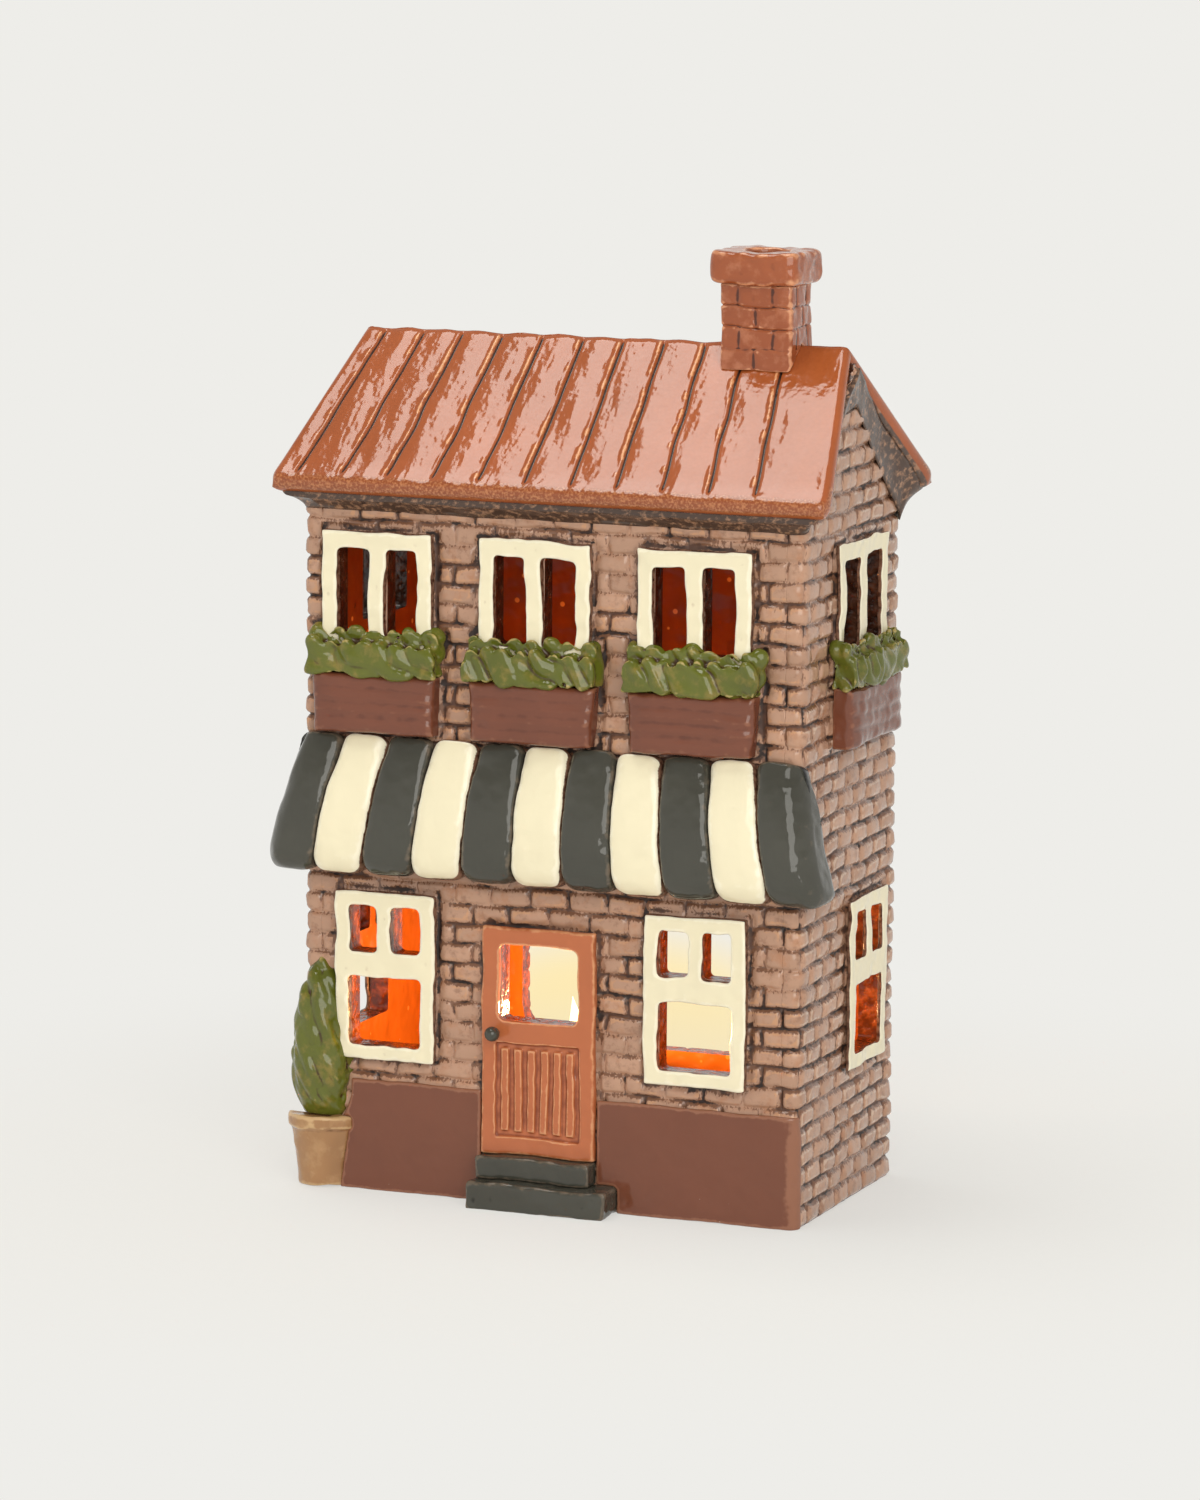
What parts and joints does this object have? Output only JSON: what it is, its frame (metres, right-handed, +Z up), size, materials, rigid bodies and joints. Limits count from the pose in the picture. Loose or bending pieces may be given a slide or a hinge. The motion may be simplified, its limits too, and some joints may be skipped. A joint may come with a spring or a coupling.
{
  "type": "ceramic candle house",
  "caption": "Glazed clay village house with brick walls, plank roof, chimney, striped awning and window boxes; a tealight inside shines through the panes and is taken out at the back.",
  "frame": {"origin": "centre of the part's footprint box, on the table", "axes": "+Z up, -Y out of the front door, +X to the right seen from the front"},
  "size_m": [0.1324, 0.0766, 0.2118],
  "materials": {
    "brick_glaze": "glossy glaze over brick relief, dark in the joints",
    "roof_glaze": "glossy amber and terracotta glaze, dark in the grooves",
    "coil_glaze": "glossy dark brown glaze",
    "cream_glaze": "glossy cream glaze with small brown specks",
    "charcoal_glaze": "glossy charcoal glaze, worn light on the edges",
    "box_glaze": "glossy brown glaze",
    "leaf_glaze": "glossy green glaze, tan where it runs thin",
    "door_glaze": "glossy terracotta glaze",
    "plinth_glaze": "smooth glossy chocolate glaze",
    "pot_glaze": "glossy ochre glaze",
    "candle_tin": "thin pressed metal",
    "candle_wax": "wax, soft and pale",
    "wick_cotton": "waxed cotton, charred at the tip"
  },
  "bodies": {
    "house": {"awning_stripe_01": "charcoal_glaze", "awning_stripe_02": "cream_glaze", "awning_stripe_03": "charcoal_glaze", "awning_stripe_04": "cream_glaze", "awning_stripe_05": "charcoal_glaze", "awning_stripe_06": "cream_glaze", "awning_stripe_07": "charcoal_glaze", "awning_stripe_08": "cream_glaze", "awning_stripe_09": "charcoal_glaze", "awning_stripe_10": "cream_glaze", "awning_stripe_11": "charcoal_glaze", "back_eave_coil": "coil_glaze", "back_wall": "brick_glaze", "box_greenery_left": "leaf_glaze", "box_greenery_middle": "leaf_glaze", "box_greenery_right": "leaf_glaze", "chimney_cap": "roof_glaze", "chimney_stack": "roof_glaze", "door_knob": "charcoal_glaze", "door_leaf": "door_glaze", "floor_slab": "brick_glaze", "flower_box_left": "box_glaze", "flower_box_middle": "box_glaze", "flower_box_right": "box_glaze", "front_eave_coil": "coil_glaze", "front_wall": "brick_glaze", "left_gable_flower_box": "box_glaze", "left_gable_greenery": "leaf_glaze", "left_gable_lower_frame": "cream_glaze", "left_gable_upper_frame": "cream_glaze", "left_gable_wall": "brick_glaze", "left_verge_coil": "coil_glaze", "lower_door_step": "charcoal_glaze", "lower_window_frame_left": "cream_glaze", "lower_window_frame_right": "cream_glaze", "plant_pot": "pot_glaze", "plinth_panel_left": "plinth_glaze", "plinth_panel_right": "plinth_glaze", "right_gable_flower_box": "box_glaze", "right_gable_greenery": "leaf_glaze", "right_gable_lower_frame": "cream_glaze", "right_gable_upper_frame": "cream_glaze", "right_gable_wall": "brick_glaze", "right_verge_coil": "coil_glaze", "roof_back_slope": "roof_glaze", "roof_front_slope": "roof_glaze", "topiary_bush": "leaf_glaze", "upper_door_step": "charcoal_glaze", "upper_window_frame_left": "cream_glaze", "upper_window_frame_middle": "cream_glaze", "upper_window_frame_right": "cream_glaze"},
    "tealight": {"tealight_cup": "candle_tin", "tealight_wax": "candle_wax", "tealight_wick": "wick_cotton", "wick_sustainer": "candle_tin"}
  },
  "joints": [
    {"name": "tealight_lift_out", "type": "slide", "parent": "house", "child": "tealight", "axis": [0, 0.6711, 0.7414], "range_m": [0, 0.0857]}
  ]
}
